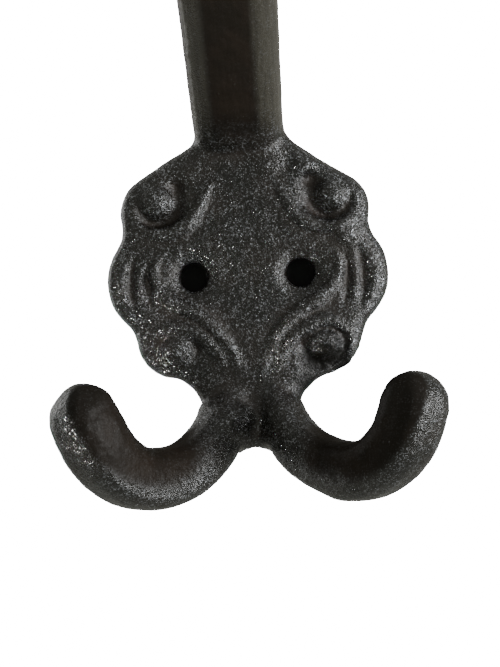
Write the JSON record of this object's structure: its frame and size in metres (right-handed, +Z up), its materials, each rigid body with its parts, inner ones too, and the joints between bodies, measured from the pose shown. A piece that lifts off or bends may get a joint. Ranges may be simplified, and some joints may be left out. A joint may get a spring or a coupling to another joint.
{
  "type": "coat hook",
  "caption": "Cast iron wall hook: a lobed plate with scroll relief, one wide upper arm and paired upturned prongs.",
  "frame": {"origin": "on the wall plane, midway between the two screw holes", "axes": "+Z up the wall, +Y into the wall, so the hook stands out towards -Y, +X to the right of someone who faces the wall"},
  "size_m": [0.0694, 0.0634, 0.1329],
  "materials": {
    "cast_iron_black": "sand-cast grain under a thin blackish brown lacquer, half gloss on the high places and dull in the hollows"
  },
  "bodies": {
    "root": {"coat_hook": "cast_iron_black"}
  },
  "joints": []
}
